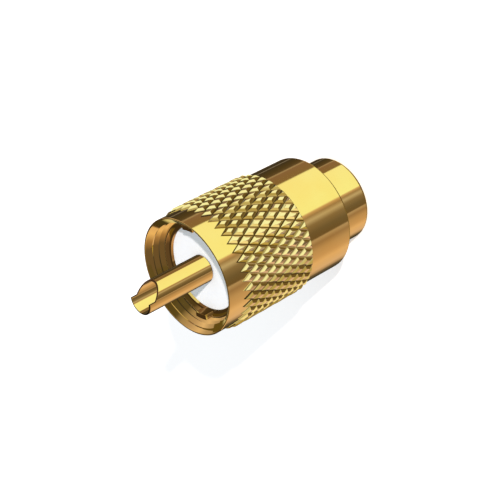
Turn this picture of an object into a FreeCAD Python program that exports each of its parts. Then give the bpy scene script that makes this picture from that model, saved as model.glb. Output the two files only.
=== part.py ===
"""Straight UHF cable plug with a knurled coupling nut.

The plug stands on its cable end. +Z runs along its axis towards the contact pin, and the
origin is the centre of the barrel's rear face. +X is the side to which the pin's solder
opening and one of the two locating teeth point. All sizes are in millimetres.

Pieces, from the outside in:
  coupling_nut     knurled nut with the internal thread, spins and slides on the barrel
  plug_body        barrel, front flange, locating teeth, solder holes and cable bore
  insulator        stepped white plastic bead that carries the contact
  centre_pin       hollow contact with a half-cut solder opening at its tip
  thrust_washer    loose washer between the nut's inner rib and the body's flange
  retaining_ring   open spring ring in the barrel's groove, which keeps the nut on
"""
import FreeCAD, Part
import math
import os

from FreeCAD import Placement, Rotation, Vector

# Barrel and flange
BARREL_D = 12.54
BODY_LENGTH = 27.05          # rear face to the front lip, without the teeth
FLANGE_STEP = 0.83           # flange's rim outside the barrel
FLANGE_LENGTH = 3.05
BARREL_WALL = 0.97           # beside the cable bore
CABLE_BORE_LENGTH = 7.4      # rear bore, which takes the cable's jacket or an adapter
BORE_CHAMFER = 0.4           # at the mouth of the cable bore
CAVITY_STEP = 0.2            # the solder cavity in front of the bore is this much narrower
BARREL_CHAMFER = 0.3         # on the outer rear edge

# Front lip: a bevel runs from the lip down to a flat land beside the insulator
LIP_WIDTH = 0.15
LIP_EDGE = 0.1               # small outer chamfer
LAND_DEPTH = 0.45
LAND_WIDTH = 0.37

# Locating teeth on the lip
TOOTH_COUNT = 2
TOOTH_HEIGHT = 0.95
TOOTH_ANGLE = 18.0           # degrees around the axis

# Solder holes through the barrel, under the nut at rest
SOLDER_HOLE_COUNT = 4
SOLDER_HOLE_D = 2.4
SOLDER_HOLE_FROM_REAR = 9.2

# Insulator
FACE_WALL = 0.87             # flange's metal around the bead
BEAD_LENGTH = 3.0
BEAD_RECESS = 0.81           # lip to the bead's front face
BEAD_EDGE = 0.12
NECK_D = 9.8
NECK_LENGTH = 5.8

# Contact pin
PIN_D = 4.0
PIN_WALL = 0.5
PIN_REACH = 11.2             # bead's front face to the tip
PIN_TIP_EDGE = 0.12
SHANK_STEP = 0.18            # the shank inside the insulator is this much slimmer
COLLAR_RIM = 0.9
PIN_COLLAR_LENGTH = 1.0
PIN_TAIL_LENGTH = 1.5        # behind the collar
FUNNEL_EDGE = 0.2            # metal left around the wire funnel at the tail's mouth
FUNNEL_LENGTH = 0.8
OPENING_LENGTH = 1.05        # stretch at the tip where half the tube is cut away
OPENING_ANGLE = 50.0         # slope of the cut's shoulder, from the pin's axis

# Coupling nut
NUT_WALL = 0.58              # plain bands in front of and behind the knurl, outside the thread
NUT_LENGTH = 23.4
NUT_OVERHANG = 2.45          # rim in front of the body's lip, at rest
FRONT_BAND = 2.5
KNURL_LENGTH = 12.93
NUT_REAR_CHAMFER = 0.3
RIM_LAND = 0.07
THREAD_CLEARANCE = 0.35      # flange to the thread's crests
THREAD_DEPTH = 0.49
THREAD_LENGTH = 12.0         # rim to the relief
RELIEF_LENGTH = 1.5
RIB_LENGTH = 2.5             # inner rib that runs on the barrel
SKIRT_GAP = 0.68             # barrel to the nut's rear bore

# Knurl: flat-topped diamonds, staggered from column to column
DIAMONDS_AROUND = 40
DIAMONDS_LONG = 4.5          # repeats along the axis, in steps of a half
GROOVE_STEP = 0.08           # groove bottoms above the plain bands
KNURL_DEPTH = 0.40
FLAT_SHARE = 0.42            # top of a diamond, as a share of its cell
END_SLOPE = 0.2              # run-out of the cut diamonds at both ends

# Washer and spring ring
WASHER_RIM = 1.03            # washer's rim outside the barrel
WASHER_THICKNESS = 0.8
RING_THICKNESS = 0.8
RING_STAND = 0.48            # spring ring's rim outside the barrel
GROOVE_DEPTH = 0.35
RING_GAP_ANGLE = 28.0

# Clearances
RUNNING = 0.06               # radial, between the barrel and what runs on it
FACE_GAP = 0.05              # between faces that meet and move apart

# Diameters that follow from the sizes above, from the barrel outwards
FLANGE_D = BARREL_D + 2 * FLANGE_STEP
BEAD_D = FLANGE_D - 2 * FACE_WALL
CABLE_BORE_D = BARREL_D - 2 * BARREL_WALL
CAVITY_D = CABLE_BORE_D - 2 * CAVITY_STEP
THREAD_MINOR_D = FLANGE_D + 2 * THREAD_CLEARANCE
THREAD_MAJOR_D = THREAD_MINOR_D + 2 * THREAD_DEPTH      # 15.88, the 5/8 inch thread
NUT_D = THREAD_MAJOR_D + 2 * NUT_WALL
SKIRT_BORE_D = BARREL_D + 2 * SKIRT_GAP
WASHER_D = BARREL_D + 2 * WASHER_RIM
RING_D = BARREL_D + 2 * RING_STAND
PIN_BORE_D = PIN_D - 2 * PIN_WALL
SHANK_D = PIN_D - 2 * SHANK_STEP
PIN_COLLAR_D = PIN_D + 2 * COLLAR_RIM
FUNNEL_D = SHANK_D - 2 * FUNNEL_EDGE

# Levels along the axis
LIP_Z = BODY_LENGTH
BEAD_FACE_Z = LIP_Z - BEAD_RECESS
BEAD_SEAT_Z = BEAD_FACE_Z - BEAD_LENGTH
NECK_END_Z = BEAD_SEAT_Z - NECK_LENGTH
FLANGE_REAR_Z = LIP_Z - FLANGE_LENGTH
TIP_Z = BEAD_FACE_Z + PIN_REACH
RIM_Z = LIP_Z + NUT_OVERHANG
NUT_REAR_Z = RIM_Z - NUT_LENGTH
KNURL_FRONT_Z = RIM_Z - FRONT_BAND
KNURL_REAR_Z = KNURL_FRONT_Z - KNURL_LENGTH
THREAD_END_Z = RIM_Z - THREAD_LENGTH
RIB_FRONT_Z = THREAD_END_Z - RELIEF_LENGTH
RIB_REAR_Z = RIB_FRONT_Z - RIB_LENGTH
WASHER_Z = RIB_FRONT_Z + FACE_GAP
RING_Z = RIB_REAR_Z - FACE_GAP - RING_THICKNESS

AXIS = Vector(0, 0, 1)
ORIGIN = Vector(0, 0, 0)


def turned(profile, angle=360.0):
    """A solid turned from a closed list of (radius, height) points."""
    points = [Vector(r, 0, z) for r, z in profile]
    face = Part.Face(Part.makePolygon(points + points[:1]))
    return face.revolve(ORIGIN, AXIS, angle)


def turned_skin(profile):
    """The open surface that a line of (radius, height) points sweeps in one turn."""
    wire = Part.makePolygon([Vector(r, 0, z) for r, z in profile])
    return wire.revolve(ORIGIN, AXIS, 360.0).Faces


def polar(radius, degrees, z):
    """A point at a radius, an angle around the axis and a height."""
    a = math.radians(degrees)
    return Vector(radius * math.cos(a), radius * math.sin(a), z)


def turn_about_axis(shape, degrees):
    """A copy of the shape turned around the plug's axis."""
    copy = shape.copy()
    copy.Placement = Placement(ORIGIN, Rotation(AXIS, degrees)).multiply(copy.Placement)
    return copy


def flat_face(points):
    return Part.Face(Part.makePolygon(list(points) + [points[0]]))


class Diamond:
    """One raised diamond of the knurl, whole or cut in half at an end of the band."""

    def __init__(self, angle, z, cut=0):
        self.angle = angle
        self.z = z
        self.cut = cut                     # +1: its front half is missing, -1: its rear half
        self.root = NUT_D / 2 + GROOVE_STEP
        self.top = self.root + KNURL_DEPTH
        self.half_angle = 180.0 / DIAMONDS_AROUND
        self.half_length = KNURL_LENGTH / DIAMONDS_LONG / 2

    def low(self, side, along):
        """A corner of the cell, at the bottom of the grooves."""
        return polar(self.root, self.angle + side * self.half_angle,
                     self.z + along * self.half_length)

    def high(self, across, along):
        """A corner of the flat top, all at one height over the cell's middle."""
        swing = math.radians(across * self.half_angle)
        return polar(self.top / math.cos(swing), self.angle + across * self.half_angle,
                     self.z + along)

    def faces(self):
        reach = FLAT_SHARE * self.half_length
        ends = {side: (self.low(0, side), self.high(0, side * reach)) for side in (1, -1)}
        faces = []
        if self.cut == 0:
            sides = {s: (self.low(s, 0), self.high(s * FLAT_SHARE, 0)) for s in (1, -1)}
            tops = [ends[1][1], sides[-1][1], ends[-1][1], sides[1][1]]
            kept = (1, -1)
        else:
            width = FLAT_SHARE * (1 - END_SLOPE / reach)
            inward = -self.cut * END_SLOPE
            sides = {s: (self.low(s, 0), self.high(s * width, inward)) for s in (1, -1)}
            kept = (-self.cut,)
            tops = [ends[kept[0]][1], sides[-1][1], sides[1][1]]
            faces.append(flat_face([sides[1][0], sides[1][1], sides[-1][1], sides[-1][0]]))
        faces.append(flat_face(tops))
        for end in kept:
            for side in (1, -1):
                low_end, high_end = ends[end]
                low_side, high_side = sides[side]
                faces.append(flat_face([low_end, high_end, low_side]))
                faces.append(flat_face([high_end, high_side, low_side]))
        return faces


def knurl_faces():
    """All facets of the knurled band, and the flat rings that close its two ends."""
    faces = []
    pitch = KNURL_LENGTH / DIAMONDS_LONG
    whole = int(DIAMONDS_LONG)
    half_left = DIAMONDS_LONG - whole > 0.25
    step = 180.0 / DIAMONDS_AROUND
    rear_outline, front_outline = [], []
    for column in range(2 * DIAMONDS_AROUND):
        angle = column * step
        odd = column % 2
        # An even column starts with a whole diamond at the rear, an odd one with a half.
        middles = [(k + (0.0 if odd else 0.5)) * pitch for k in range(whole + 1)]
        for middle in middles:
            if middle < 1e-6:
                diamond = Diamond(angle, KNURL_REAR_Z, cut=-1)
            elif middle > KNURL_LENGTH + 1e-6:
                continue
            elif middle > KNURL_LENGTH - 1e-6:
                diamond = Diamond(angle, KNURL_FRONT_Z, cut=1)
            else:
                diamond = Diamond(angle, KNURL_REAR_Z + middle)
            faces += diamond.faces()
        half_at_front = (not odd) if half_left else bool(odd)
        corner = polar(NUT_D / 2 + GROOVE_STEP, angle, 0)
        if not odd:
            rear_outline.append(corner + Vector(0, 0, KNURL_REAR_Z))
        if not half_at_front:
            front_outline.append(corner + Vector(0, 0, KNURL_FRONT_Z))
    for outline, z in ((rear_outline, KNURL_REAR_Z), (front_outline, KNURL_FRONT_Z)):
        outer = Part.makePolygon(outline + outline[:1])
        inner = Part.Wire(Part.makeCircle(NUT_D / 2, Vector(0, 0, z), AXIS))
        faces.append(Part.Face([outer, inner]))
    return faces


def coupling_nut():
    nut_r = NUT_D / 2
    mouth_r = nut_r - RIM_LAND
    mouth_depth = mouth_r - THREAD_MINOR_D / 2
    profile = [
        (nut_r, KNURL_REAR_Z),
        (nut_r, NUT_REAR_Z + NUT_REAR_CHAMFER),
        (nut_r - NUT_REAR_CHAMFER, NUT_REAR_Z),
        (SKIRT_BORE_D / 2, NUT_REAR_Z),
        (SKIRT_BORE_D / 2, RIB_REAR_Z),
        (BARREL_D / 2 + RUNNING, RIB_REAR_Z),
        (BARREL_D / 2 + RUNNING, RIB_FRONT_Z),
        (THREAD_MAJOR_D / 2, RIB_FRONT_Z),
        (THREAD_MAJOR_D / 2, THREAD_END_Z - (THREAD_MAJOR_D - THREAD_MINOR_D) / 2),
        (THREAD_MINOR_D / 2, THREAD_END_Z),
        (THREAD_MINOR_D / 2, RIM_Z - mouth_depth),
        (mouth_r, RIM_Z),
        (nut_r, RIM_Z),
        (nut_r, KNURL_FRONT_Z),
    ]
    shell = Part.makeShell(turned_skin(profile) + knurl_faces())
    shell.sewShape()
    solid = Part.makeSolid(shell)
    solid.fix(1e-6, 1e-6, 1e-4)
    return solid


def plug_body():
    barrel_r = BARREL_D / 2
    flange_r = FLANGE_D / 2
    bead_r = BEAD_D / 2
    bore_r = CABLE_BORE_D / 2
    cavity_r = CAVITY_D / 2
    groove_r = barrel_r - GROOVE_DEPTH
    body = turned([
        (bore_r + BORE_CHAMFER, 0),
        (barrel_r - BARREL_CHAMFER, 0),
        (barrel_r, BARREL_CHAMFER),
        (barrel_r, RING_Z),
        (groove_r, RING_Z),
        (groove_r, RING_Z + RING_THICKNESS),
        (barrel_r, RING_Z + RING_THICKNESS),
        (barrel_r, FLANGE_REAR_Z),
        (flange_r, FLANGE_REAR_Z),
        (flange_r, LIP_Z - LIP_EDGE),
        (flange_r - LIP_EDGE, LIP_Z),
        (flange_r - LIP_EDGE - LIP_WIDTH, LIP_Z),
        (bead_r + LAND_WIDTH, LIP_Z - LAND_DEPTH),
        (bead_r, LIP_Z - LAND_DEPTH),
        (bead_r, BEAD_SEAT_Z),
        (NECK_D / 2, BEAD_SEAT_Z),
        (NECK_D / 2, NECK_END_Z),
        (cavity_r, NECK_END_Z),
        (cavity_r, CABLE_BORE_LENGTH),
        (bore_r, CABLE_BORE_LENGTH),
        (bore_r, BORE_CHAMFER),
    ])
    tooth = turned([
        (bead_r + 0.02, LIP_Z - LAND_DEPTH - 0.2),
        (flange_r - LIP_EDGE, LIP_Z - LAND_DEPTH - 0.2),
        (flange_r - LIP_EDGE, LIP_Z + TOOTH_HEIGHT),
        (bead_r + 0.02, LIP_Z + TOOTH_HEIGHT),
    ], TOOTH_ANGLE)
    for k in range(TOOTH_COUNT):
        body = body.fuse(turn_about_axis(tooth, k * 360.0 / TOOTH_COUNT - TOOTH_ANGLE / 2))
    hole = Part.makeCylinder(SOLDER_HOLE_D / 2, BARREL_D, Vector(0, 0, SOLDER_HOLE_FROM_REAR),
                             Vector(1, 0, 0))
    for k in range(SOLDER_HOLE_COUNT):
        body = body.cut(turn_about_axis(hole, (k + 0.5) * 360.0 / SOLDER_HOLE_COUNT))
    return body.removeSplitter()


def insulator():
    bead_r = BEAD_D / 2
    return turned([
        (SHANK_D / 2, NECK_END_Z),
        (NECK_D / 2, NECK_END_Z),
        (NECK_D / 2, BEAD_SEAT_Z),
        (bead_r, BEAD_SEAT_Z),
        (bead_r, BEAD_FACE_Z - BEAD_EDGE),
        (bead_r - BEAD_EDGE, BEAD_FACE_Z),
        (SHANK_D / 2, BEAD_FACE_Z),
    ])


def centre_pin():
    pin_r = PIN_D / 2
    bore_r = PIN_BORE_D / 2
    shank_r = SHANK_D / 2
    collar_rear = NECK_END_Z - PIN_COLLAR_LENGTH
    tail_z = collar_rear - PIN_TAIL_LENGTH
    pin = turned([
        (FUNNEL_D / 2, tail_z),
        (shank_r, tail_z),
        (shank_r, collar_rear),
        (PIN_COLLAR_D / 2, collar_rear),
        (PIN_COLLAR_D / 2, NECK_END_Z),
        (shank_r, NECK_END_Z),
        (shank_r, BEAD_FACE_Z),
        (pin_r, BEAD_FACE_Z + SHANK_STEP),
        (pin_r, TIP_Z - PIN_TIP_EDGE),
        (pin_r - PIN_TIP_EDGE, TIP_Z),
        (bore_r, TIP_Z),
        (bore_r, tail_z + FUNNEL_LENGTH),
    ])
    # The cut removes the +X half at the tip, with a sloped shoulder behind it.
    foot_z = TIP_Z - OPENING_LENGTH
    reach = pin_r + 1.0
    heel_z = foot_z - reach / math.tan(math.radians(OPENING_ANGLE))
    outline = [Vector(0, -reach, foot_z), Vector(0, -reach, TIP_Z + 1),
               Vector(reach, -reach, TIP_Z + 1), Vector(reach, -reach, heel_z)]
    cutter = flat_face(outline).extrude(Vector(0, 2 * reach, 0))
    return pin.cut(cutter)


def thrust_washer():
    inner = BARREL_D / 2 + RUNNING
    return turned([(inner, WASHER_Z), (WASHER_D / 2, WASHER_Z),
                   (WASHER_D / 2, WASHER_Z + WASHER_THICKNESS),
                   (inner, WASHER_Z + WASHER_THICKNESS)])


def retaining_ring():
    inner = BARREL_D / 2 - GROOVE_DEPTH
    ring = turned([(inner, RING_Z), (RING_D / 2, RING_Z),
                   (RING_D / 2, RING_Z + RING_THICKNESS),
                   (inner, RING_Z + RING_THICKNESS)], 360.0 - RING_GAP_ANGLE)
    return turn_about_axis(ring, RING_GAP_ANGLE / 2)


PIECES = {
    "coupling_nut": coupling_nut,
    "plug_body": plug_body,
    "insulator": insulator,
    "centre_pin": centre_pin,
    "thrust_washer": thrust_washer,
    "retaining_ring": retaining_ring,
}

os.makedirs("parts", exist_ok=True)
for name, make in PIECES.items():
    shape = make()
    shape.exportStep("parts/" + name + ".step")
    box = shape.BoundBox
    print(name, "solids", len(shape.Solids), "valid", shape.isValid(),
          "volume", round(shape.Volume, 2), "faces", len(shape.Faces),
          "z", round(box.ZMin, 3), round(box.ZMax, 3), "x", round(box.XMin, 3), round(box.XMax, 3))
print("nut travel", round(FLANGE_REAR_Z - WASHER_Z - WASHER_THICKNESS, 3))
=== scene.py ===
"""Visual model of a gold plated UHF cable plug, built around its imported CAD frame.

The plug stands on its cable end, with its contact pin up. Sizes in the classes are millimetres
unless a comment says otherwise, and every finished mesh is scaled to metres in the frame's own
place.
"""

import logging
import math
from dataclasses import dataclass, field
from enum import Enum

import bmesh
import bpy
from bmesh.types import BMesh, BMEdge, BMVert
from bpy.types import Material, NodeSocket, Object, ShaderNode
from mathutils import Matrix, Vector


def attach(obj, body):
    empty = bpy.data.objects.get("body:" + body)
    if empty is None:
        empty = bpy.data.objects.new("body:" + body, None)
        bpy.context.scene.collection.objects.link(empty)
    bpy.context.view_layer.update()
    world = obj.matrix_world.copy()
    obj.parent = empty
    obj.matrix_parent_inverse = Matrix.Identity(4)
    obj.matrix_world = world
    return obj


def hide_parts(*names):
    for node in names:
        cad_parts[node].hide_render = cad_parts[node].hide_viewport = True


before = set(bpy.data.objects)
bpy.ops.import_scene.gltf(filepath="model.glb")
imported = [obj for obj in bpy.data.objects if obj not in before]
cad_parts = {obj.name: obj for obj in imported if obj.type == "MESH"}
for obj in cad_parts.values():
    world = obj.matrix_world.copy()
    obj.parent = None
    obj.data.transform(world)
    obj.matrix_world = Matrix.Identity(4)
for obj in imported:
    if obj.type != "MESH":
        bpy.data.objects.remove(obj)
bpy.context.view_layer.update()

MM = 0.001
AROUND = 160                 # faces around a full turn of the larger pieces
NEAR = 0.01                  # how close to a height an open edge has to lie
WELD = 2e-4                  # points this close to each other become one after a cut
SLIVER = 1e-4                # edges this short are taken out after a cut
FOLD = 40.0                  # degrees above which a block's edge is rounded
SHARP = 32.0                 # degrees above which a finished piece's edge is shaded sharp
log = logging.getLogger("uhf_plug")

Outline = list[tuple[float, ...]]      # radius, height and, at a round corner, its rounding
Colour = tuple[float, float, float]


class Body(Enum):
    """The moving bodies of the frame."""

    PLUG = "plug"
    NUT = "nut"
    SLIDER = "slider"


class Slot(Enum):
    """The record's material slots."""

    NUT = "gold_nut"
    BODY = "gold_body"
    INSULATOR = "white_insulator"
    PIN = "gold_pin"
    SPRING = "spring_bronze"


class Cut(Enum):
    """What a tool body does to a piece."""

    AWAY = "DIFFERENCE"
    JOIN = "UNION"


# Mesh helpers


def radius_of(point: Vector) -> float:
    """Distance of a point from the plug's axis."""
    return math.hypot(point.x, point.y)


def set_radius(vert: BMVert, radius: float) -> None:
    """Moves a vertex straight out or in to a radius."""
    share = radius / radius_of(vert.co)
    vert.co = (vert.co.x * share, vert.co.y * share, vert.co.z)


def wire(mesh: BMesh, outline: Outline, closed: bool, segments: int = 4) -> list:
    """Draws a line in the XZ plane and rounds the corners that have a rounding.

    Args:
        mesh: the mesh to draw in.
        outline: its points, in order.
        closed: whether the last point joins the first.
        segments: faces in each rounding.

    Returns:
        The line's vertices and edges.
    """
    before = set(mesh.verts)
    verts = [mesh.verts.new((r, 0.0, z)) for r, z, *_ in outline]
    pairs = list(zip(verts, verts[1:]))
    if closed:
        pairs.append((verts[-1], verts[0]))
    for pair in pairs:
        mesh.edges.new(pair)
    for vert, (_, _, *rounding) in zip(verts, outline):
        if any(rounding):
            bmesh.ops.bevel(mesh, geom=[vert], offset=rounding[0], offset_type="OFFSET",
                            segments=segments, profile=0.5, affect="VERTICES", material=-1)
    drawn = [v for v in mesh.verts if v not in before]
    edges = dict.fromkeys(e for v in drawn for e in v.link_edges)   # each once, in order
    return drawn + list(edges)


def turn(mesh: BMesh, line: list, steps: int = AROUND, angle: float = math.tau,
         rise: float = 0.0) -> None:
    """Turns a line or face around the plug's axis.

    Args:
        mesh: the mesh that holds the line.
        line: the geometry to turn.
        steps: faces along the turn.
        angle: the turn in radians.
        rise: how far the line climbs in the whole turn.
    """
    whole = abs(angle - math.tau) < 1e-6 and rise == 0.0
    bmesh.ops.spin(mesh, geom=line, cent=(0, 0, 0), axis=(0, 0, 1), dvec=(0, 0, rise / steps),
                   angle=angle, steps=steps, use_merge=whole, use_normal_flip=False,
                   use_duplicate=False)


def spin_verts(mesh: BMesh, verts: list, angle: float) -> None:
    """Turns vertices around the plug's axis by an angle in radians."""
    bmesh.ops.rotate(mesh, cent=(0, 0, 0), matrix=Matrix.Rotation(angle, 3, "Z"), verts=verts)


def only_verts(geometry: list) -> list[BMVert]:
    """The vertices among some geometry."""
    return [g for g in geometry if isinstance(g, BMVert)]


def extrude_ring(mesh: BMesh, ring: list, radius: float, height: float | None = None) -> list:
    """Extrudes a closed ring of edges to a new radius and height.

    Args:
        mesh: the mesh that holds the ring.
        ring: the ring's edges.
        radius: radius of the new ring.
        height: height of the new ring, or None where its points keep their own.

    Returns:
        The edges of the new ring.
    """
    made = bmesh.ops.extrude_edge_only(mesh, edges=ring)["geom"]
    verts = set(only_verts(made))
    for vert in verts:
        set_radius(vert, radius)
        if height is not None:
            vert.co.z = height
    return [g for g in made if isinstance(g, BMEdge) and set(g.verts) <= verts]


def open_ring(mesh: BMesh, low: float, high: float, inside: float = 0.0) -> list:
    """Finds the open edges between two heights.

    Args:
        mesh: the mesh to search.
        low: the lower height.
        high: the upper height.
        inside: the least distance from the axis.

    Returns:
        The edges.
    """
    return [e for e in mesh.edges if e.is_boundary
            and all(low - NEAR <= v.co.z <= high + NEAR and radius_of(v.co) >= inside
                    for v in e.verts)]


def add_mesh(mesh: BMesh, part: BMesh) -> None:
    """Adds a part to a mesh.

    Args:
        mesh: the mesh that gets the part.
        part: the part, which is freed.
    """
    data = bpy.data.meshes.new("part")
    part.to_mesh(data)
    part.free()
    mesh.from_mesh(data)
    bpy.data.meshes.remove(data)


def new_object(mesh: BMesh, name: str) -> Object:
    """Makes an object of a mesh.

    Args:
        mesh: the mesh, which is freed.
        name: the object's name.

    Returns:
        The object, at the origin.
    """
    data = bpy.data.meshes.new(name)
    mesh.to_mesh(data)
    mesh.free()
    obj = bpy.data.objects.new(name, data)
    bpy.context.scene.collection.objects.link(obj)
    return obj


def with_tool(mesh: BMesh, tool: BMesh, cut: Cut) -> BMesh:
    """Cuts a closed tool body away from a closed mesh, or joins the two.

    Args:
        mesh: the piece, which is freed.
        tool: the tool body, which is freed.
        cut: what the tool does.

    Returns:
        A new mesh with the result.
    """
    objects = []
    for source in (mesh, tool):
        bmesh.ops.recalc_face_normals(source, faces=source.faces)
        objects.append(new_object(source, "blank"))
    modifier = objects[0].modifiers.new("cut", "BOOLEAN")
    modifier.operation = cut.value
    modifier.solver = "EXACT"
    modifier.object = objects[1]
    graph = bpy.context.evaluated_depsgraph_get()
    data = bpy.data.meshes.new_from_object(objects[0].evaluated_get(graph))
    result = bmesh.new()
    result.from_mesh(data)
    bpy.data.meshes.remove(data)
    for obj in objects:
        old = obj.data
        bpy.data.objects.remove(obj)
        bpy.data.meshes.remove(old)
    bmesh.ops.remove_doubles(result, verts=result.verts, dist=WELD)
    bmesh.ops.dissolve_degenerate(result, edges=result.edges, dist=SLIVER)
    return result


def sector(mesh: BMesh, corners: Outline, start: float, angle: float, steps: int,
           edge: float) -> None:
    """Adds a block that follows a part of a circle, and rounds its edges.

    Args:
        mesh: the empty mesh that gets it.
        corners: its section, as (radius, height) points.
        start: where it starts around the axis, in radians.
        angle: how far it reaches from there, in radians.
        steps: faces along it.
        edge: width of the rounded edges.
    """
    face = mesh.faces.new([mesh.verts.new((r, 0.0, z)) for r, z in corners])
    spin_verts(mesh, mesh.verts, start)
    turn(mesh, [face], steps=steps, angle=angle)
    bmesh.ops.recalc_face_normals(mesh, faces=mesh.faces)
    folds = [e for e in mesh.edges if e.calc_face_angle(0.0) > math.radians(FOLD)]
    bmesh.ops.bevel(mesh, geom=folds, offset=edge, offset_type="OFFSET", segments=2,
                    profile=0.5, affect="EDGES", material=-1)


def mark_sharp(edges: list, degrees: float) -> None:
    """Shades edges as sharp.

    Args:
        edges: the edges to test.
        degrees: the fold above which an edge is sharp.
    """
    limit = math.radians(degrees)
    for edge in edges:
        if len(edge.link_faces) != 2 or edge.calc_face_angle(0.0) > limit:
            edge.smooth = False


def finish_piece(mesh: BMesh, node: str, body: Body, material: Material) -> Object:
    """Turns a closed mesh in millimetres into the piece that stands for a CAD node.

    Args:
        mesh: the mesh, which is freed.
        node: the CAD node that it replaces.
        body: the body that it rides on.
        material: its finish.

    Returns:
        The piece's object, at the origin.
    """
    bmesh.ops.recalc_face_normals(mesh, faces=mesh.faces)
    mark_sharp(mesh.edges, SHARP)
    for face in mesh.faces:
        face.smooth = True
    bmesh.ops.scale(mesh, vec=(MM, MM, MM), verts=mesh.verts)
    loose = sum(1 for e in mesh.edges if not e.is_manifold)
    piece = new_object(mesh, node + "_skin")
    piece.data.materials.append(material)
    even = piece.modifiers.new("even_shading", "WEIGHTED_NORMAL")
    even.mode = "FACE_AREA"
    even.weight = 100
    even.keep_sharp = True
    piece.visible_glossy = False       # the bright faces mirror the studio, not each other
    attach(piece, body.value)
    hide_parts(node)
    log.info("%s: %d faces, %d open or doubled edges", piece.name, len(piece.data.polygons),
             loose)
    return piece


# Finishes


@dataclass(frozen=True)
class Nodes:
    """Adds shader nodes to one node tree."""

    tree: bpy.types.NodeTree

    def fill(self, node: ShaderNode, inputs: dict[str | int, object]) -> None:
        """Sets a node's inputs.

        Args:
            node: the node.
            inputs: each input's plain value, or the socket that gives it.
        """
        for name, value in inputs.items():
            if isinstance(value, NodeSocket):
                self.tree.links.new(value, node.inputs[name])
            else:
                node.inputs[name].default_value = value

    def add(self, kind: str, inputs: dict[str | int, object] | None = None,
            **settings: object) -> ShaderNode:
        """Adds a node.

        Args:
            kind: the node's type.
            inputs: its inputs, as in fill.
            settings: its plain properties.

        Returns:
            The node.
        """
        node = self.tree.nodes.new(kind)
        for name, value in settings.items():
            setattr(node, name, value)
        self.fill(node, inputs or {})
        return node

    def shader(self) -> ShaderNode:
        """The material's main shader."""
        return self.tree.nodes["Principled BSDF"]

    def object_point(self, scale: tuple[float, float, float] = (1, 1, 1)) -> NodeSocket:
        """The piece's own coordinates, stretched by a scale for each axis."""
        place = self.add("ShaderNodeTexCoord").outputs["Object"]
        return self.add("ShaderNodeMapping", {"Vector": place, "Scale": scale}).outputs["Vector"]

    def radius(self) -> NodeSocket:
        """The distance from the plug's axis, in metres."""
        flat = self.object_point((1, 1, 0))
        return self.add("ShaderNodeVectorMath", {0: flat}, operation="LENGTH").outputs["Value"]

    def noise(self, vector: NodeSocket, scale: float, detail: float) -> NodeSocket:
        """A noise pattern's value."""
        return self.add("ShaderNodeTexNoise", {"Vector": vector, "Scale": scale,
                                               "Detail": detail}).outputs["Fac"]

    def spread(self, value: NodeSocket, low: float, high: float,
               start: float = 0.3, end: float = 0.7) -> NodeSocket:
        """Maps a value's range to another.

        Args:
            value: the socket to map.
            low: result at start.
            high: result at end.
            start: lowest value read.
            end: highest value read.

        Returns:
            The mapped socket.
        """
        ends = {"Value": value, "From Min": start, "From Max": end, "To Min": low, "To Max": high}
        return self.add("ShaderNodeMapRange", ends).outputs["Result"]

    def mix(self, factor: NodeSocket, first: object, second: object) -> NodeSocket:
        """Mixes two colours.

        Args:
            factor: the socket of the second colour's share.
            first: a colour, or the socket that gives it.
            second: a colour, or the socket that gives it.

        Returns:
            The mixed colour's socket.
        """
        mix = self.add("ShaderNodeMix", {"Factor": factor}, data_type="RGBA")
        places = [k for k, s in enumerate(mix.inputs) if s.type == "RGBA"]
        for place, colour in zip(places, (first, second)):
            self.fill(mix, {place: (*colour, 1.0) if isinstance(colour, tuple) else colour})
        return [s for s in mix.outputs if s.type == "RGBA"][0]

    def bump(self, height: NodeSocket, distance: float, strength: float = 1.0) -> NodeSocket:
        """A bumped normal, with the bumps' height in millimetres."""
        return self.add("ShaderNodeBump", {"Height": height, "Strength": strength,
                                           "Distance": distance * MM}).outputs["Normal"]

    def seen(self) -> NodeSocket:
        """Builds a value that tells the rays that show a surface from those that light it.

        Returns:
            One where a ray comes from the camera, a mirror or clear material, and else zero.
        """
        path = self.add("ShaderNodeLightPath")
        total = path.outputs["Is Camera Ray"]
        for name in ("Is Glossy Ray", "Is Transmission Ray"):
            total = self.add("ShaderNodeMath", {0: total, 1: path.outputs[name]},
                             operation="MAXIMUM").outputs["Value"]
        return total


def new_material(name: str) -> tuple[Material, Nodes]:
    """Makes a node material.

    Args:
        name: its name.

    Returns:
        The material and its nodes.
    """
    material = bpy.data.materials.new(name)
    material.use_nodes = True
    return material, Nodes(material.node_tree)


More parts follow.
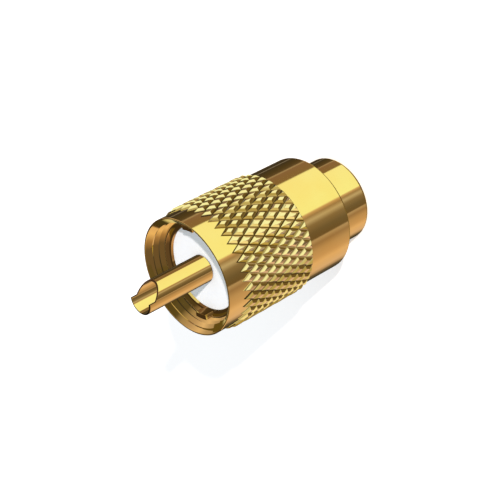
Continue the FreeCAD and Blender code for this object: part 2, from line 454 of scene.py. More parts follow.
@dataclass(frozen=True)
class GoldPlate:
    """Bright gold plating over turned brass."""

    name: str
    deep: Colour = (1.0, 0.700, 0.240)
    pale: Colour = (1.0, 0.745, 0.290)
    cloud_scale: float = 220.0         # of the slow change from deep to pale
    # painted shade: the knurl's colour at its groove bottoms, where shade falls between the
    # diamonds
    groove: Colour = (0.17, 0.085, 0.015)
    rolled: Colour = (1.0, 0.790, 0.45)
    groove_shade_from: float = 0.0           # radius of the knurl's groove bottoms, where its painted shade is darkest, 0 for none
    groove_shade_to: float = 8.80            # radius where the painted groove shade ends
    rolled_edge: float = 0.02
    # painted shade: a near black ring on the pin's thin wall, darkening its end and cut faces
    cut: Colour = (0.09, 0.05, 0.02)
    wall_shade_radius: float = 0.0            # middle radius of the ring of painted shade on the pin's thin wall, 0 for none
    wall_shade_reach: float = 0.115           # to both sides of it
    # painted shade: the darker colour of the body's front, deep inside the nut
    recess_shade: Colour = (0.74, 0.49, 0.18)
    recess_shade_from: float = 0.0           # height above which the body is darkened by painted shade, 0 for none
    recess_shade_edge: float = 0.2
    smear_scale: float = 900.0         # of the change from smooth to rough
    smooth: float = 0.045
    rough: float = 0.085
    line_pitch: float = 0.055          # of the turning lines
    line_height: float = 0.00012

    def knurled(self, nodes: Nodes, gold: NodeSocket) -> NodeSocket:
        """Colours the knurl, with painted shade that darkens it towards its groove bottoms.

        Args:
            nodes: the material's nodes.
            gold: the colour elsewhere.

        Returns:
            The colour's socket.
        """
        start = self.groove_shade_from * MM
        # Painted shade: the colour runs from the dark groove colour at the groove bottoms to the
        # pale knurl colour at the crests.
        depth = nodes.spread(nodes.radius(), 0.0, 1.0, start, self.groove_shade_to * MM)
        share = nodes.spread(nodes.radius(), 0.0, 1.0, start, start + self.rolled_edge * MM)
        return nodes.mix(share, gold, nodes.mix(depth, self.groove, self.rolled))

    def make(self) -> Material:
        """Builds the node material.

        Returns:
            The material, with fine turning lines around the axis, and, where they are set,
            painted shade in the knurl's grooves, on the pin's wall faces and on the body's
            recessed front.
        """
        material, nodes = new_material(self.name)
        cloud = nodes.noise(nodes.object_point(), self.cloud_scale, detail=3.0)
        gold = nodes.mix(nodes.spread(cloud, 0.0, 1.0), self.deep, self.pale)
        if self.groove_shade_from:
            gold = self.knurled(nodes, gold)
        # Painted shade: the faces within reach of that radius, among them the pin's end and cut
        # faces, turn near black.
        if self.wall_shade_radius:
            near = nodes.add("ShaderNodeMath", {0: nodes.radius(), 1: self.wall_shade_radius * MM,
                                                2: self.wall_shade_reach * MM}, operation="COMPARE")
            gold = nodes.mix(near.outputs["Value"], gold, self.cut)
        # Painted shade: the body turns darker above that height, where it lies deep in the nut's
        # mouth.
        if self.recess_shade_from:
            place = nodes.add("ShaderNodeSeparateXYZ", {"Vector": nodes.object_point()})
            start = self.recess_shade_from * MM
            share = nodes.spread(place.outputs["Z"], 0.0, 1.0, start,
                                 start + self.recess_shade_edge * MM)
            gold = nodes.mix(share, gold, self.recess_shade)
        smear = nodes.noise(nodes.object_point((1, 1, 3)), self.smear_scale, detail=4.0)
        around = nodes.object_point((0.02, 0.02, 1))
        lines = nodes.noise(around, 1.0 / (self.line_pitch * MM), detail=2.0)
        nodes.fill(nodes.shader(), {"Metallic": 1.0, "Base Color": gold,
                                    "Roughness": nodes.spread(smear, self.smooth, self.rough),
                                    "Normal": nodes.bump(lines, self.line_height)})
        return material


@dataclass(frozen=True)
class WhiteInsulator:
    """Glossy white moulded plastic."""

    name: str = "white_insulator"
    light: Colour = (0.90, 0.91, 0.92)
    shade: Colour = (0.87, 0.88, 0.89)
    cloud_scale: float = 350.0
    shine: float = 0.4
    smooth: float = 0.16
    rough: float = 0.26
    grain_scale: float = 1500.0
    grain_height: float = 0.01

    def make(self) -> Material:
        """Builds the node material.

        Returns:
            The material, slightly cloudy and with a fine moulded grain.
        """
        material, nodes = new_material(self.name)
        cloud = nodes.noise(nodes.object_point(), self.cloud_scale, detail=3.0)
        grain = nodes.noise(nodes.object_point(), self.grain_scale, detail=2.0)
        colour = nodes.mix(nodes.spread(cloud, 0.0, 1.0), self.shade, self.light)
        nodes.fill(nodes.shader(), {"Specular IOR Level": self.shine, "Base Color": colour,
                                    "Roughness": nodes.spread(cloud, self.rough, self.smooth),
                                    "Normal": nodes.bump(grain, self.grain_height, strength=0.3)})
        return material


@dataclass(frozen=True)
class SpringBronze:
    """Bare bronze strip, brushed around."""

    name: str = "spring_bronze"
    deep: Colour = (0.66, 0.37, 0.19)
    pale: Colour = (0.78, 0.49, 0.28)
    cloud_scale: float = 500.0
    smooth: float = 0.22
    rough: float = 0.34

    def make(self) -> Material:
        """Builds the node material.

        Returns:
            The material, rougher where it is darker.
        """
        material, nodes = new_material(self.name)
        cloud = nodes.noise(nodes.object_point((1, 1, 2)), self.cloud_scale, detail=4.0)
        colour = nodes.mix(nodes.spread(cloud, 0.0, 1.0), self.deep, self.pale)
        nodes.fill(nodes.shader(), {"Metallic": 1.0, "Base Color": colour,
                                    "Roughness": nodes.spread(cloud, self.rough, self.smooth)})
        return material


# Pieces


@dataclass
class Thread:
    """An internal thread, wound turn by turn and cut off flat at its ends."""

    minor_radius: float
    major_radius: float
    pitch: float
    low: float
    high: float
    crest_round: float = 0.0
    longest_face: float = 0.15         # along the flanks, before they are divided
    flank_cuts: int = 2
    weld: float = 3e-3                 # points this close become one between two turns

    def build(self, mesh: BMesh) -> None:
        """Winds the thread into a mesh, one pitch past both ends, and trims it.

        Args:
            mesh: the mesh that gets the thread.
        """
        wound = bmesh.new()
        foot = self.low - self.pitch
        profile = [(self.major_radius, foot),
                   (self.minor_radius, foot + self.pitch / 2, self.crest_round),
                   (self.major_radius, foot + self.pitch)]
        wire(wound, profile, closed=False, segments=2)
        flanks = [e for e in wound.edges if e.calc_length() > self.longest_face]
        bmesh.ops.subdivide_edges(wound, edges=flanks, cuts=self.flank_cuts)
        turn(wound, wound.verts[:] + wound.edges[:], rise=self.pitch)
        single = wound.verts[:] + wound.edges[:] + wound.faces[:]
        for k in range(1, math.ceil((self.high - self.low) / self.pitch) + 2):
            copy = bmesh.ops.duplicate(wound, geom=single)["geom"]
            bmesh.ops.translate(wound, vec=(0, 0, k * self.pitch), verts=only_verts(copy))
        bmesh.ops.remove_doubles(wound, verts=wound.verts, dist=self.weld)
        for height, side in ((self.low, -1.0), (self.high, 1.0)):
            bmesh.ops.bisect_plane(wound, geom=wound.verts[:] + wound.edges[:] + wound.faces[:],
                                   dist=SLIVER, plane_co=(0, 0, height),
                                   plane_no=(0, 0, side), clear_outer=True)
        add_mesh(mesh, wound)


@dataclass
class Knurl:
    """The raised, flat-topped diamonds around the coupling nut."""

    root_radius: float = 8.53
    crest_radius: float = 9.0
    rear: float = 14.07
    length: float = 12.93
    around: int = 40
    along: float = 4.5
    side_inset: float = 0.085          # of the steep lower flanks
    side_rise: float = 0.22
    flank_inset: float = 0.225         # of the sloped upper flanks
    edge_inset: float = 0.035          # of each half of the rounding around the flat top
    edge_drops: tuple[float, float] = (0.0225, 0.0075)   # of the two halves, outwards
    sharp: float = 14.0                # degrees
    weld: float = 1e-3                 # points this close become one between two cells

    @property
    def front(self) -> float:
        """Height of the band's front tips."""
        return self.rear + self.length

    def cell(self, mesh: BMesh, angle: float, middle: float, whole: bool) -> None:
        """Adds one diamond's footprint on the groove bottoms.

        Args:
            mesh: the mesh that gets it.
            angle: the cell's place around the axis, in radians.
            middle: height of its middle.
            whole: False for the front half of a cell that is cut off at the rear.
        """
        half_angle = math.pi / self.around
        half_length = self.length / self.along / 2
        corners = [(half_angle, 0.0), (0.0, half_length), (-half_angle, 0.0)]
        if whole:
            corners.append((0.0, -half_length))
        mesh.faces.new([
            mesh.verts.new((self.root_radius * math.cos(angle + a),
                            self.root_radius * math.sin(angle + a), middle + z))
            for a, z in corners])

    def footprints(self, mesh: BMesh) -> None:
        """Covers the band with footprints, open at both ends.

        Args:
            mesh: the mesh that gets them.
        """
        pitch = self.length / self.along
        for k in range(int(self.along)):
            self.cell(mesh, 0.0, self.rear + (k + 0.5) * pitch, True)
            self.cell(mesh, math.pi / self.around, self.rear + (k + 1) * pitch, True)
        self.cell(mesh, math.pi / self.around, self.rear, False)
        column = mesh.verts[:] + mesh.edges[:] + mesh.faces[:]
        for k in range(1, self.around):
            copy = bmesh.ops.duplicate(mesh, geom=column)["geom"]
            spin_verts(mesh, only_verts(copy), k * math.tau / self.around)
        bmesh.ops.remove_doubles(mesh, verts=mesh.verts, dist=self.weld)
        bmesh.ops.recalc_face_normals(mesh, faces=mesh.faces)
        if sum(f.normal.dot(f.calc_center_median().xy.to_3d()) for f in mesh.faces) < 0:
            bmesh.ops.reverse_faces(mesh, faces=mesh.faces)

    def build(self, mesh: BMesh) -> None:
        """Adds the knurled band, open at both ends.

        Args:
            mesh: the empty mesh that gets it.
        """
        self.footprints(mesh)
        tops = mesh.faces[:]
        height = self.crest_radius - self.root_radius
        steps = [(self.side_inset, self.side_rise),
                 (self.flank_inset, height - self.side_rise - sum(self.edge_drops)),
                 *((self.edge_inset, drop) for drop in self.edge_drops)]
        for inset, rise in steps:
            bmesh.ops.inset_individual(mesh, faces=tops, thickness=inset, depth=rise,
                                       use_even_offset=True)
            mesh.normal_update()
        for middle in bmesh.ops.poke(mesh, faces=tops)["verts"]:
            set_radius(middle, self.crest_radius)
        mark_sharp([e for e in mesh.edges if not e.is_boundary], self.sharp)


@dataclass
class CouplingNut:
    """The knurled nut with its internal thread."""

    band_radius: float = 8.52
    band_step: float = 0.05            # from the knurl's tips to the band's first ring
    rear: float = 6.10
    rear_round: tuple[tuple[float, float], ...] = (   # inwards, and forwards from the rear face
        (0.0, 0.46), (0.02, 0.36), (0.08, 0.26), (0.34, 0.03), (0.39, 0.0))
    rim: float = 29.50
    rim_edge: float = 0.05
    rim_land: float = 0.19
    rim_round: tuple[tuple[float, float], ...] = (    # inwards from the land, and down
        (-0.07, 0.0), (-0.02, 0.009), (0.02, 0.027))
    skirt_radius: float = 6.95
    skirt_edge: float = 0.10
    rib_rear: float = 13.50
    rib_front: float = 16.00
    rib_radius: float = 6.33
    rib_edge: float = 0.05
    relief_room: float = 0.05
    relief_slope: float = 0.10
    relief_end: float = 17.50
    thread_minor: float = 7.45
    thread_major: float = 7.94
    thread_pitch: float = 1.058
    thread_stop: float = 0.05          # behind the rim
    front_cuts: int = 1                # in each edge of the knurl's front end
    rear_cuts: int = 3                 # and of its rear end
    knurl: Knurl = field(default_factory=Knurl)

    @property
    def mouth_radius(self) -> float:
        """Radius of the mouth cone at the rim."""
        return self.band_radius - self.rim_land

    def mouth(self, mesh: BMesh) -> None:
        """Pushes the thread out onto the 45 degree mouth cone.

        Args:
            mesh: the thread's mesh.
        """
        for vert in mesh.verts:
            cone = self.mouth_radius - (self.rim - vert.co.z)
            if self.thread_minor < cone and radius_of(vert.co) < cone:
                set_radius(vert, cone)

    def front_rings(self) -> Outline:
        """Lists the rings of the front band, the rim and the start of the mouth cone.

        Returns:
            Each ring's radius and height, from the knurl on.
        """
        return [(self.band_radius, self.knurl.front + self.band_step),
                (self.band_radius, self.rim - self.rim_edge),
                (self.band_radius - self.rim_edge, self.rim),
                *((self.mouth_radius - inwards, self.rim - down)
                  for inwards, down in self.rim_round)]

    def rear_rings(self) -> Outline:
        """Lists the rings of the rear band, the skirt, the rib and the thread's relief.

        Returns:
            Each ring's radius and height, from the knurl on.
        """
        relief = self.thread_major + self.relief_room
        return [*((self.band_radius - inwards, self.rear + forwards)
                  for inwards, forwards in self.rear_round),
                (self.skirt_radius + self.skirt_edge, self.rear),
                (self.skirt_radius, self.rear + self.skirt_edge),
                (self.skirt_radius, self.rib_rear),
                (self.rib_radius + self.rib_edge, self.rib_rear),
                (self.rib_radius, self.rib_rear + self.rib_edge),
                (self.rib_radius, self.rib_front - self.rib_edge),
                (self.rib_radius + self.rib_edge, self.rib_front),
                (relief, self.rib_front),
                (relief, self.relief_end - self.relief_slope)]

    def build(self, material: Material) -> Object:
        """Builds the nut.

        Args:
            material: its finish.

        Returns:
            The piece.
        """
        mesh = bmesh.new()
        thread_high = self.rim - self.thread_stop
        Thread(self.thread_minor, self.thread_major, self.thread_pitch,
               self.relief_end, thread_high).build(mesh)
        self.mouth(mesh)
        band = bmesh.new()
        self.knurl.build(band)
        add_mesh(mesh, band)
        rear, front = self.knurl.rear, self.knurl.front
        outside = self.thread_major + self.relief_room
        for low, high, cuts, rings, thread_end in (
                ((rear + front) / 2, front, self.front_cuts, self.front_rings(), thread_high),
                (rear, rear, self.rear_cuts, self.rear_rings(), self.relief_end)):
            zigzag = open_ring(mesh, low, high, outside)
            bmesh.ops.subdivide_edges(mesh, edges=zigzag, cuts=cuts)
            ring = extrude_ring(mesh, open_ring(mesh, low, high, outside), self.band_radius)
            for radius, height in rings:
                ring = extrude_ring(mesh, ring, radius, height)
            thread = open_ring(mesh, thread_end, thread_end)
            bmesh.ops.bridge_loops(mesh, edges=ring + thread)
        return finish_piece(mesh, "coupling_nut", Body.NUT, material)


@dataclass
class PlugBody:
    """Barrel, flange, lip, locating teeth, solder holes and cable bore."""

    barrel: float = 6.27
    barrel_chamfer: float = 0.30
    barrel_round: float = 0.20
    rear_round: float = 0.06
    bore: float = 5.30
    bore_end: float = 7.40
    bore_chamfer: float = 0.40
    bore_edge: float = 0.02
    bore_round: float = 0.05
    bore_run_out: float = 0.15
    bore_thread_depth: float = 0.26
    bore_thread_pitch: float = 0.907
    bore_thread_round: float = 0.03
    bore_thread_low: float = 0.43
    bore_thread_high: float = 7.10
    cavity: float = 5.10
    groove: float = 5.92
    groove_low: float = 12.65
    groove_high: float = 13.45
    flange: float = 7.10
    flange_rear: float = 24.00
    flange_round: float = 0.06
    lip: float = 27.05
    lip_edge: float = 0.10
    lip_width: float = 0.15
    lip_round: float = 0.03
    lip_inner_round: float = 0.04
    land_depth: float = 0.45
    land_width: float = 0.37
    seat: float = 6.23
    seat_rear: float = 23.24
    neck: float = 4.90
    neck_end: float = 17.44
    hole: float = 1.20
    hole_height: float = 9.20
    holes: int = 4
    hole_depth: float = 2.0            # the drill's reach to both sides of the barrel's face
    hole_steps: int = 40
    ring_above: float = 2.0            # from the holes' middle to the next edge rings
    ring_below: float = 1.6
    teeth: int = 2
    tooth_height: float = 0.95
    tooth_angle: float = 18.0
    tooth_sink: float = 0.20
    tooth_room: float = 0.02
    tooth_round: float = 0.05
    tooth_steps: int = 12

    def skin(self) -> BMesh:
        """Turns the body without its teeth and holes.

        Returns:
            The closed mesh, with the bore's thread.
        """
        mesh = bmesh.new()
        land = self.lip - self.land_depth
        outline = [
            (self.bore, self.bore_end - self.bore_run_out),
            (self.bore - self.bore_edge, self.bore_end),
            (self.cavity, self.bore_end),
            (self.cavity, self.hole_height + self.ring_above),
            (self.cavity, self.neck_end),
            (self.neck, self.neck_end),
            (self.neck, self.seat_rear),
            (self.seat, self.seat_rear),
            (self.seat, land),
            (self.seat + self.land_width, land),
            (self.flange - self.lip_edge - self.lip_width, self.lip, self.lip_inner_round),
            (self.flange - self.lip_edge, self.lip, self.lip_round),
            (self.flange, self.lip - self.lip_edge, self.lip_round),
            (self.flange, self.flange_rear, self.flange_round),
            (self.barrel, self.flange_rear),
            (self.barrel, self.groove_high),
            (self.groove, self.groove_high),
            (self.groove, self.groove_low),
            (self.barrel, self.groove_low),
            (self.barrel, self.hole_height + self.ring_above),
            (self.barrel, self.hole_height - self.ring_below),
            (self.barrel, self.barrel_chamfer, self.barrel_round),
            (self.barrel - self.barrel_chamfer, 0.0, self.rear_round),
            (self.bore + self.bore_chamfer, 0.0, self.bore_round),
            (self.bore + self.bore_edge, self.bore_chamfer - self.bore_edge),
        ]
        turn(mesh, wire(mesh, outline, closed=False, segments=3))
        Thread(self.bore, self.bore + self.bore_thread_depth, self.bore_thread_pitch,
               self.bore_thread_low, self.bore_thread_high, self.bore_thread_round).build(mesh)
        for low, high in ((self.bore_chamfer - self.bore_edge, self.bore_thread_low),
                          (self.bore_thread_high, self.bore_end - self.bore_run_out)):
            bmesh.ops.bridge_loops(mesh, edges=open_ring(mesh, low, high))
        return mesh

    def tooth(self) -> BMesh:
        """Makes one locating tooth, centred on +X.

        Returns:
            Its closed mesh, sunk into the lip.
        """
        mesh = bmesh.new()
        inner, outer = self.seat + self.tooth_room, self.flange - self.lip_edge
        foot, top = self.lip - self.land_depth - self.tooth_sink, self.lip + self.tooth_height
        half = math.radians(self.tooth_angle / 2)
        sector(mesh, [(inner, foot), (outer, foot), (outer, top), (inner, top)], -half, 2 * half,
               self.tooth_steps, self.tooth_round)
        return mesh

    def drill(self, angle: float) -> BMesh:
        """Makes the drill for one solder hole.

        Args:
            angle: its place around the axis, in radians.

        Returns:
            Its closed mesh, lying across the barrel's face.
        """
        mesh = bmesh.new()
        place = (Matrix.Rotation(angle, 4, "Z")
                 @ Matrix.Translation((self.barrel, 0, self.hole_height))
                 @ Matrix.Rotation(math.pi / 2, 4, "Y"))
        bmesh.ops.create_cone(mesh, cap_ends=True, segments=self.hole_steps, radius1=self.hole,
                              radius2=self.hole, depth=2 * self.hole_depth, matrix=place)
        return mesh

    def build(self, material: Material) -> Object:
        """Builds the body.

        Args:
            material: its finish.

        Returns:
            The piece.
        """
        mesh = self.skin()
        for k in range(self.teeth):
            tooth = self.tooth()
            spin_verts(tooth, tooth.verts, k * math.tau / self.teeth)
            mesh = with_tool(mesh, tooth, Cut.JOIN)
        for k in range(self.holes):
            drill = self.drill((k + 0.5) * math.tau / self.holes)
            mesh = with_tool(mesh, drill, Cut.AWAY)
        return finish_piece(mesh, "plug_body", Body.PLUG, material)


@dataclass
class Insulator:
    """The white bead around the pin."""

    bore: float = 1.82
    neck: float = 4.90
    neck_end: float = 17.44
    neck_round: float = 0.10
    bead: float = 6.23
    bead_rear: float = 23.24
    face: float = 26.24
    face_round: float = 0.12

    def build(self, material: Material) -> Object:
        """Builds the bead.

        Args:
            material: its finish.

        Returns:
            The piece.
        """
        mesh = bmesh.new()
        outline = [(self.bore, self.neck_end), (self.neck, self.neck_end, self.neck_round),
                   (self.neck, self.bead_rear), (self.bead, self.bead_rear),
                   (self.bead, self.face, self.face_round), (self.bore, self.face)]
        turn(mesh, wire(mesh, outline, closed=True))
        return finish_piece(mesh, "insulator", Body.PLUG, material)


@dataclass
class CentrePin:
    """The hollow contact with its half-cut solder opening."""

    outer: float = 2.00
    bore: float = 1.50
    shank: float = 1.82
    base: float = 26.24
    tip: float = 37.44
    tip_round: float = 0.12
    collar: float = 2.90
    collar_front: float = 17.44
    collar_rear: float = 16.44
    collar_round: float = 0.08
    tail: float = 14.94
    cup: float = 1.76                  # bore of the thin walled solder cup at the tip
    cup_depth: float = 4.20
    cup_round: float = 0.03
    funnel: float = 1.62
    funnel_depth: float = 0.80
    opening: float = 1.05
    opening_angle: float = 50.0
    spare: float = 1.0                 # how far the opening's cutter stands out of the pin
    steps: int = 96

    def cutter(self) -> BMesh:
        """Makes the wedge that opens one side of the tip.

        Returns:
            Its closed mesh.
        """
        mesh = bmesh.new()
        foot = self.tip - self.opening
        top = self.tip + self.spare
        reach = self.outer + self.spare
        heel = foot - reach / math.tan(math.radians(self.opening_angle))
        corners = [(0.0, foot), (0.0, top), (reach, top), (reach, heel)]
        face = mesh.faces.new([mesh.verts.new((x, -reach, z)) for x, z in corners])
        made = bmesh.ops.extrude_face_region(mesh, geom=[face])["geom"]
        bmesh.ops.translate(mesh, vec=(0, 2 * reach, 0), verts=only_verts(made))
        return mesh

    def build(self, material: Material) -> Object:
        """Builds the pin.

        Args:
            material: its finish.

        Returns:
            The piece.
        """
        mesh = bmesh.new()
        cup_foot = self.tip - self.cup_depth
        outline = [(self.funnel, self.tail), (self.shank, self.tail),
                   (self.shank, self.collar_rear),
                   (self.collar, self.collar_rear, self.collar_round),
                   (self.collar, self.collar_front, self.collar_round),
                   (self.shank, self.collar_front), (self.shank, self.base),
                   (self.outer, self.base + self.outer - self.shank),
                   (self.outer, self.tip, self.tip_round),
                   (self.cup, self.tip, self.cup_round),
                   (self.cup, cup_foot), (self.bore, cup_foot),
                   (self.bore, self.tail + self.funnel_depth)]
        turn(mesh, wire(mesh, outline, closed=True), steps=self.steps)
        mesh = with_tool(mesh, self.cutter(), Cut.AWAY)
        return finish_piece(mesh, "centre_pin", Body.PLUG, material)


@dataclass
class Ring:
    """A flat ring with softened edges, whole or open."""

    node: str
    body: Body
    inner: float
    outer: float
    low: float
    high: float
    gap: float = 0.0                   # degrees
    edge: float = 0.07

    def build(self, material: Material) -> Object:
        """Builds the ring.

        Args:
            material: its finish.

        Returns:
            The piece.
        """
        mesh = bmesh.new()
        corners = [(self.inner, self.low), (self.outer, self.low),
                   (self.outer, self.high), (self.inner, self.high)]
        if self.gap:
            start = math.radians(self.gap / 2)
            sector(mesh, corners, start, math.tau - 2 * start, AROUND, self.edge)
        else:
            rounded = [(*corner, self.edge) for corner in corners]
            turn(mesh, wire(mesh, rounded, closed=True, segments=2))
        return finish_piece(mesh, self.node, self.body, material)


# Camera, floor and light


@dataclass
class Viewpoint:
    """The photograph's camera, from the plug's axis as the camera sees it."""

    picture: float = 500.0             # width in pixels
    focal: float = 1352.0              # in the same pixels
    sensor: float = 36.0
    turn: float = -28.0                # the axis's turn in the picture, degrees
    tilt: float = 35.5                 # the axis's tilt away from the picture, degrees
    rim_x: float = 185.6               # the rim's middle in the picture, pixels
    rim_y: float = 277.4
    distance: float = 180.0            # to the rim's middle, along the camera's axis
    facing: float = -58.0              # the plug's side that faces the camera, degrees
    rim: float = 29.50
    clip_start: float = 10.0
    clip_end: float = 20000.0

    def place(self) -> Matrix:
        """Works out where the camera stands and how it is turned.

        Returns:
            The camera's matrix, in metres.
        """
        turned, tilted, facing = (math.radians(a) for a in (self.turn, self.tilt, self.facing))
        rear = Vector((math.cos(turned) * math.cos(tilted), math.sin(turned) * math.cos(tilted),
                       math.sin(tilted)))
        look = Vector((0, 0, 1))
        near = (-look + rear * look.dot(rear)).normalized()
        seen = Matrix((rear, near, rear.cross(near)))
        real = Matrix(((0, 0, -1), (math.cos(facing), math.sin(facing), 0),
                       (math.sin(facing), -math.cos(facing), 0))).transposed()
        to_world = real @ seen
        middle = self.picture / 2
        spot = Vector(((self.rim_x - middle) / self.focal, (self.rim_y - middle) / self.focal,
                       1.0)) * self.distance
        stand = (Vector((0, 0, self.rim)) - to_world @ spot) * MM
        axes = to_world @ Matrix.Diagonal((1, -1, -1))
        return Matrix.Translation(stand) @ axes.to_4x4()

    def build(self) -> Object:
        """Builds the camera.

        Returns:
            The camera's object.
        """
        data = bpy.data.cameras.new("camera")
        data.sensor_width = self.sensor
        data.lens = self.focal / self.picture * self.sensor
        data.clip_start = self.clip_start * MM
        data.clip_end = self.clip_end * MM
        camera = bpy.data.objects.new("camera", data)
        camera.matrix_world = self.place()
        bpy.context.scene.collection.objects.link(camera)
        bpy.context.scene.camera = camera
        return camera


def stage_mesh(mesh: BMesh, name: str, material: Material) -> Object:
    """Makes a stage object, which isn't part of the plug.

    Args:
        mesh: the mesh, which is freed.
        name: the object's name.
        material: its material.

    Returns:
        The object.
    """
    obj = new_object(mesh, name)
    obj.data.materials.append(material)
    material.cycles.emission_sampling = "NONE"
    return obj


@dataclass(frozen=True)
class Belt:
    """A bent card all around the plug, in soft colours, which only the polished metal mirrors."""

    name: str
    low: float                         # elevation of its lower edge, degrees
    high: float
    stops: tuple[tuple[float, float, float, float], ...]   # azimuth in degrees, and colour
    radius: float = 1.0                # metres
    centre: float = 0.02               # height of its middle, metres
    start: float = 93.0                # azimuth in degrees where the card's two ends meet
    row: float = 5.0                   # height of a row of faces, degrees
    steps: int = 120

    def build(self) -> Object:
        """Builds the belt.

        Returns:
            The belt's object.
        """
        mesh = bmesh.new()
        rows = max(2, round((self.high - self.low) / self.row))
        rise = [math.radians(self.low + (self.high - self.low) * k / rows)
                for k in range(rows + 1)]
        arc = [(self.radius * math.cos(e), self.radius * math.sin(e)) for e in rise]
        turn(mesh, wire(mesh, arc, closed=False), steps=self.steps)
        bmesh.ops.translate(mesh, vec=(0, 0, self.centre), verts=mesh.verts)
        belt = stage_mesh(mesh, self.name, self.glow())
        for rays in ("camera", "diffuse", "transmission", "volume_scatter", "shadow"):
            setattr(belt, "visible_" + rays, False)
        return belt

    def glow(self) -> Material:
        """Makes a material that shows the belt's colours whatever the light.

        Returns:
            The material, whose colour runs around the axis from the first stop to the last.
        """
        material, nodes = new_material(self.name)
        nodes.tree.nodes.remove(nodes.shader())
        place = nodes.add("ShaderNodeTexCoord").outputs["Object"]
        spun = nodes.add("ShaderNodeVectorRotate", {
            "Vector": place, "Angle": math.pi - math.radians(self.start)}, rotation_type="Z_AXIS")
        split = nodes.add("ShaderNodeSeparateXYZ", {"Vector": spun.outputs["Vector"]}).outputs
        angle = nodes.add("ShaderNodeMath", {0: split["Y"], 1: split["X"]}, operation="ARCTAN2")
        share = nodes.spread(angle.outputs["Value"], 0.0, 1.0, math.pi, -math.pi)
        ramp = nodes.add("ShaderNodeValToRGB", {"Fac": share})
        band = ramp.color_ramp
        while len(band.elements) > 1:
            band.elements.remove(band.elements[-1])
        for k, (azimuth, *colour) in enumerate(self.stops):
            position = (self.start - azimuth) / 360.0
            stop = band.elements[0] if k == 0 else band.elements.new(position)
            stop.position = position
            stop.color = (*colour, 1.0)
        emission = nodes.add("ShaderNodeEmission", {"Color": ramp.outputs["Color"],
                                                    "Strength": 1.0})
        nodes.fill(nodes.tree.nodes["Material Output"],
                   {"Surface": emission.outputs["Emission"]})
        return material


# The directions follow from what each band, flank and cone mirrors towards the camera.
BELTS = (
    Belt("belt_below", low=-89.5, high=-47.0, stops=(
        (93.0, 0.30, 0.22, 0.08), (88.0, 0.70, 0.58, 0.32), (60.0, 0.62, 0.50, 0.26),
        (24.0, 0.16, 0.11, 0.03), (-150.0, 0.14, 0.10, 0.03), (-166.0, 0.33, 0.29, 0.10),
        (-210.0, 0.30, 0.24, 0.10), (-226.0, 0.05, 0.04, 0.02), (-250.0, 0.05, 0.04, 0.02),
    )),
    Belt("belt_bands", low=-47.0, high=-17.0, stops=(
        (93.0, 0.04, 0.03, 0.02), (83.0, 0.05, 0.04, 0.025), (81.0, 0.30, 0.28, 0.28),
        (78.0, 0.05, 0.04, 0.025), (58.0, 0.08, 0.06, 0.03), (49.0, 0.11, 0.08, 0.05),
        (46.0, 0.42, 0.35, 0.30), (43.0, 0.24, 0.16, 0.12), (20.0, 0.24, 0.17, 0.10),
        (18.0, 0.955, 1.06, 0.79), (-57.5, 0.955, 1.12, 0.79), (-60.0, 0.62, 0.45, 0.34),
        (-66.0, 0.34, 0.26, 0.19), (-73.0, 0.52, 0.48, 0.46), (-82.0, 0.25, 0.20, 0.15),
        (-96.0, 0.16, 0.13, 0.095), (-109.0, 0.15, 0.11, 0.065), (-111.0, 0.46, 0.37, 0.33),
        (-120.0, 0.33, 0.23, 0.17), (-133.0, 0.50, 0.36, 0.27), (-150.0, 0.60, 0.42, 0.31),
        (-162.0, 0.76, 0.55, 0.42), (-184.0, 0.70, 0.52, 0.42), (-196.0, 0.40, 0.29, 0.20),
        (-200.0, 0.16, 0.12, 0.08), (-214.0, 0.06, 0.05, 0.03), (-247.0, 0.07, 0.055, 0.03),
    )),
    Belt("belt_level", low=-17.0, high=7.0, stops=(
        (93.0, 0.12, 0.09, 0.02), (42.0, 0.14, 0.10, 0.03), (38.0, 0.95, 1.08, 0.76),
        (-50.0, 0.95, 1.08, 0.76), (-56.0, 0.66, 0.64, 0.34), (-72.0, 0.46, 0.40, 0.14),
        (-88.0, 0.47, 0.39, 0.14), (-102.0, 0.70, 0.63, 0.30), (-110.0, 0.95, 0.92, 0.52),
        (-126.0, 0.93, 0.87, 0.50), (-132.0, 0.46, 0.35, 0.09), (-141.0, 0.54, 0.44, 0.14),
        (-151.0, 0.29, 0.215, 0.04), (-172.0, 0.18, 0.125, 0.02), (-190.0, 0.20, 0.15, 0.03),
        (-198.0, 0.06, 0.05, 0.02), (-214.0, 0.06, 0.05, 0.02), (-220.0, 0.70, 0.68, 0.38),
        (-248.0, 0.70, 0.66, 0.36), (-256.0, 0.12, 0.09, 0.02),
    )),
    Belt("belt_above", low=7.0, high=50.0, stops=(
        (93.0, 0.34, 0.28, 0.22), (72.0, 0.48, 0.38, 0.33), (60.0, 0.76, 0.60, 0.52),
        (44.0, 0.52, 0.40, 0.36), (24.0, 0.36, 0.29, 0.22), (10.0, 0.11, 0.09, 0.05),
        (-28.0, 0.10, 0.09, 0.05), (-34.0, 0.95, 0.98, 0.66), (-84.0, 0.95, 0.98, 0.66),
        (-90.0, 0.14, 0.11, 0.08), (-152.0, 0.15, 0.11, 0.08), (-168.0, 0.40, 0.26, 0.16),
        (-182.0, 0.84, 0.62, 0.42), (-194.0, 0.76, 0.55, 0.40), (-197.0, 0.07, 0.05, 0.02),
        (-214.0, 0.05, 0.04, 0.02), (-225.0, 0.07, 0.05, 0.03), (-245.0, 0.07, 0.05, 0.03),
        (-255.0, 0.14, 0.10, 0.06),
    )),
    Belt("belt_steep", low=50.0, high=80.0, stops=(
        (93.0, 0.34, 0.28, 0.22), (45.0, 0.40, 0.32, 0.25), (25.0, 0.11, 0.09, 0.04),
        (-40.0, 0.09, 0.07, 0.03), (-100.0, 0.12, 0.10, 0.05), (-150.0, 0.13, 0.10, 0.06),
        (-168.0, 0.32, 0.25, 0.15), (-250.0, 0.26, 0.20, 0.12),
    )),
    Belt("belt_top", low=80.0, high=89.5, stops=(
        (93.0, 0.95, 0.92, 0.66),
    )),
)


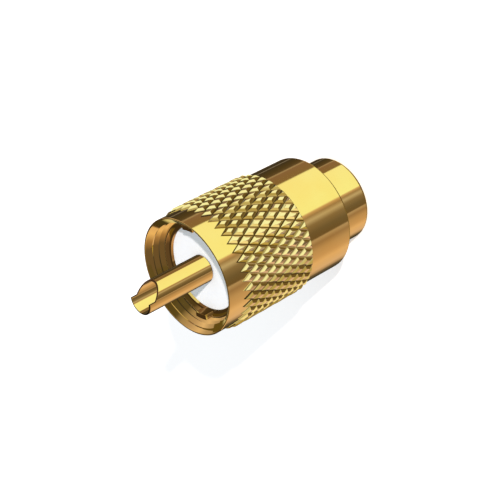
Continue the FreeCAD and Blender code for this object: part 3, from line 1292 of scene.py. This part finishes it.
@dataclass(frozen=True)
class Lamp:
    """A square soft lamp that faces the plug, and that the metal doesn't mirror."""

    name: str = "key"
    azimuth: float = -47.0             # degrees around the axis from +X
    elevation: float = 29.5            # degrees above the floor
    distance: float = 0.9              # metres
    aim: float = 0.02                  # height of what it faces, metres
    size: float = 0.03                 # metres
    watts: float = 8.9
    colour: Colour = (1.0, 0.94, 0.92)

    def build(self) -> Object:
        """Builds the lamp.

        Returns:
            The lamp's object.
        """
        data = bpy.data.lights.new(self.name, "AREA")
        data.size = self.size
        data.energy = self.watts
        data.color = self.colour
        lamp = bpy.data.objects.new(self.name, data)
        a, e = math.radians(self.azimuth), math.radians(self.elevation)
        away = Vector((math.cos(a) * math.cos(e), math.sin(a) * math.cos(e), math.sin(e)))
        lamp.location = Vector((0, 0, self.aim)) + away * self.distance
        lamp.rotation_mode = "QUATERNION"
        lamp.rotation_quaternion = away.to_track_quat("Z", "Y")
        lamp.visible_glossy = False
        bpy.context.scene.collection.objects.link(lamp)
        return lamp


@dataclass
class Studio:
    """Pale floor, white surroundings, a soft lamp and the belts around the plug."""

    floor_size: float = 6.0            # metres
    floor_colour: Colour = (0.93, 0.85, 0.79)
    floor_lift: float = 0.23           # the floor's own light, which only the eye sees
    sky: Colour = (0.87, 0.98, 1.08)
    sky_light: float = 0.90            # strength of the light that falls on the plug
    lamp: Lamp = Lamp()
    belts: tuple[Belt, ...] = BELTS

    def floor(self) -> Object:
        """Builds the floor, which looks white to the eye and keeps the plug's shadow.

        Returns:
            The floor's object.
        """
        mesh = bmesh.new()
        bmesh.ops.create_grid(mesh, x_segments=1, y_segments=1, size=self.floor_size / 2)
        material, nodes = new_material("pale_floor")
        lift = nodes.add("ShaderNodeMath", {0: nodes.seen(), 1: self.floor_lift},
                         operation="MULTIPLY")
        nodes.fill(nodes.shader(), {
            "Base Color": (*self.floor_colour, 1.0), "Roughness": 1.0, "Specular IOR Level": 0.0,
            "Emission Color": (1.0, 1.0, 1.0, 1.0), "Emission Strength": lift.outputs["Value"]})
        floor = stage_mesh(mesh, "floor", material)
        floor.visible_glossy = False
        return floor

    def world(self) -> bpy.types.World:
        """Fills the surroundings with white, and lights the plug at a plain level.

        Returns:
            The world.
        """
        world = bpy.data.worlds.new("surroundings")
        bpy.context.scene.world = world
        world.use_nodes = True
        nodes = Nodes(world.node_tree)
        seen = nodes.seen()
        nodes.fill(nodes.tree.nodes["Background"], {
            "Color": nodes.mix(seen, self.sky, (1.0, 1.0, 1.0)),
            "Strength": nodes.spread(seen, self.sky_light, 1.0, 0.0, 1.0)})
        return world

    def build(self) -> None:
        """Sets up the whole stage."""
        self.world()
        self.floor()
        for belt in self.belts:
            belt.build()
        self.lamp.build()


def build_plug() -> None:
    """Builds every piece of the plug with its finish."""
    bronze = SpringBronze().make()
    CouplingNut().build(GoldPlate("gold_nut", groove_shade_from=8.56).make())
    PlugBody().build(GoldPlate("gold_body", recess_shade_from=25.5).make())
    Insulator().build(WhiteInsulator().make())
    CentrePin().build(GoldPlate("gold_pin", wall_shade_radius=1.88).make())
    washer = Ring("thrust_washer", Body.SLIDER, inner=6.33, outer=7.30, low=16.05, high=16.85)
    spring = Ring("retaining_ring", Body.PLUG, inner=5.92, outer=6.75, low=12.65, high=13.45,
                  gap=28.0)
    for ring in (washer, spring):
        ring.build(bronze)


def main() -> None:
    """Builds the camera, the stage and the plug."""
    logging.basicConfig(level=logging.INFO, format="%(name)s: %(message)s")
    bpy.context.scene.view_settings.view_transform = "Standard"
    Viewpoint().build()
    Studio().build()
    build_plug()


if __name__ == "__main__":
    main()
